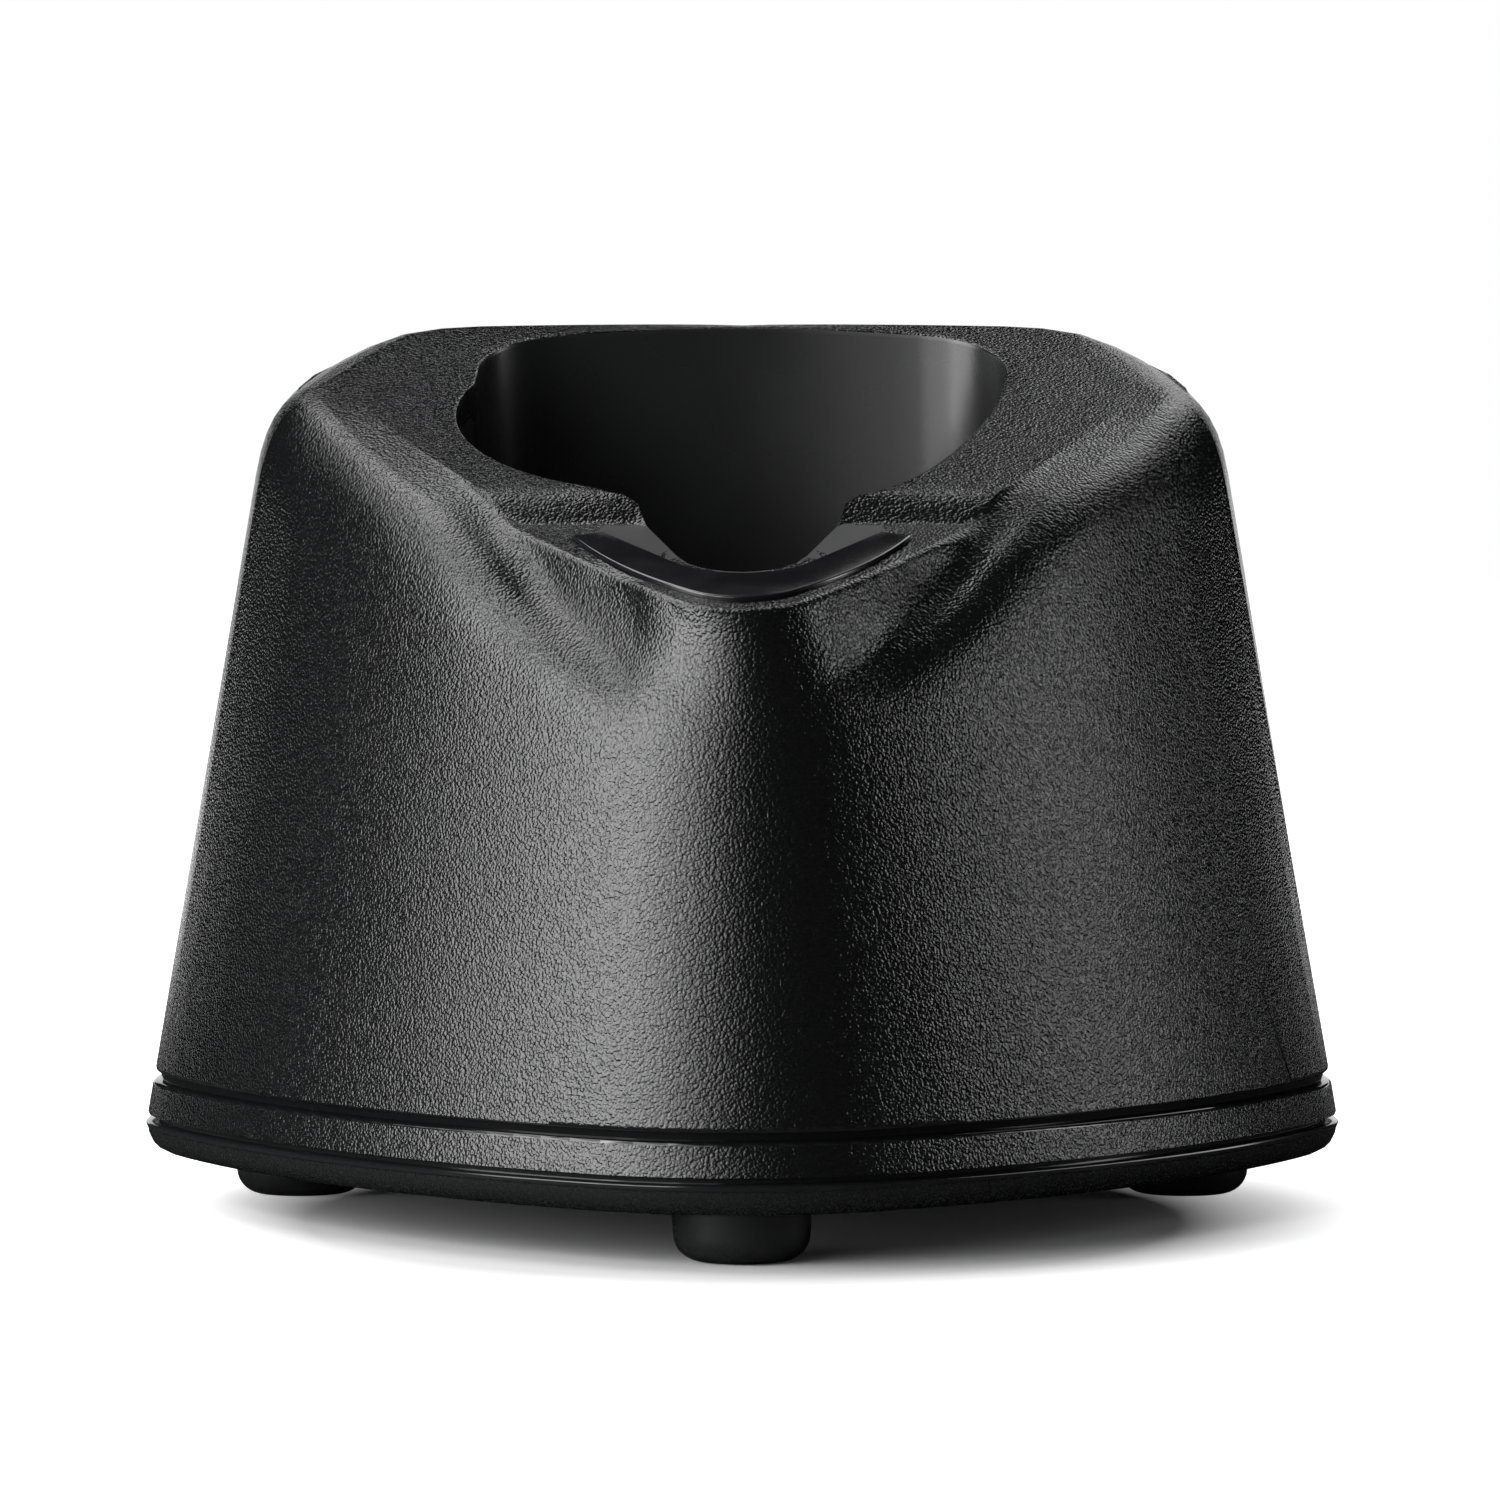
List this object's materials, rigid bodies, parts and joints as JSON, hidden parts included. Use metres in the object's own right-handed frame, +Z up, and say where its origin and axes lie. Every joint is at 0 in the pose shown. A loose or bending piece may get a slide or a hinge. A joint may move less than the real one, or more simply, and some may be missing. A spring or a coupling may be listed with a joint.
{
  "type": "charging stand",
  "caption": "Charging stand for a hand-held clipper: tapered housing with a folded front, D-shaped socket with a U notch, light strip, trim band and rubber feet.",
  "frame": {"origin": "centre of the bounding box in plan, at the height of the feet's undersides", "axes": "+Z up, -Y towards the front with the notch, +X to the viewer's right"},
  "size_m": [0.116, 0.093, 0.0849],
  "materials": {
    "housing_plastic": "black, fine leather grain, satin",
    "band_plastic": "black, fine leather grain, satin",
    "pan_plastic": "black, fine grain",
    "foot_rubber": "smooth satin",
    "lens_smoked": "dark smoked, polished",
    "guide_clear": "clear, polished",
    "board_green": "green laminate",
    "led_white": "cast resin",
    "lead_cover": "smooth",
    "block_plastic": "fine matt",
    "contact_brass": "plated, bright",
    "spring_steel": "drawn wire",
    "chip_black": "moulded",
    "capacitor_can": "drawn can",
    "plug_white": "moulded",
    "plate_steel": "zinc plated"
  },
  "bodies": {
    "stand": {"upper_housing": "housing_plastic", "socket_tube": "housing_plastic", "trim_band": "band_plastic", "base_pan": "pan_plastic", "front_foot": "foot_rubber", "left_foot": "foot_rubber", "right_foot": "foot_rubber", "light_lens": "lens_smoked", "light_guide": "guide_clear", "led_board": "board_green", "leds": "led_white", "led_lead": "lead_cover", "socket_floor": "housing_plastic", "contact_block": "block_plastic", "pin_barrels": "contact_brass", "left_pin_spring": "spring_steel", "right_pin_spring": "spring_steel", "pin_leads": "lead_cover", "main_board": "board_green", "charge_chip": "chip_black", "capacitors": "capacitor_can", "coil": "chip_black", "lead_sockets": "plug_white", "dc_jack": "chip_black", "jack_pin": "contact_brass", "ballast_plate": "plate_steel", "base_screws": "plate_steel", "ballast_screws": "plate_steel", "board_screws": "plate_steel", "floor_screws": "plate_steel", "block_screws": "plate_steel"},
    "left_pin": {"left_contact_pin": "contact_brass"},
    "right_pin": {"right_contact_pin": "contact_brass"}
  },
  "joints": [
    {"name": "left_pin_press", "type": "slide", "parent": "stand", "child": "left_pin", "axis": [0, 0, -1], "range_m": [0, 0.0015], "stiffness_N_per_m": 300, "springref_m": -0.001, "deforming": ["left_pin_spring"]},
    {"name": "right_pin_press", "type": "slide", "parent": "stand", "child": "right_pin", "axis": [0, 0, -1], "range_m": [0, 0.0015], "stiffness_N_per_m": 300, "springref_m": -0.001, "deforming": ["right_pin_spring"]}
  ]
}
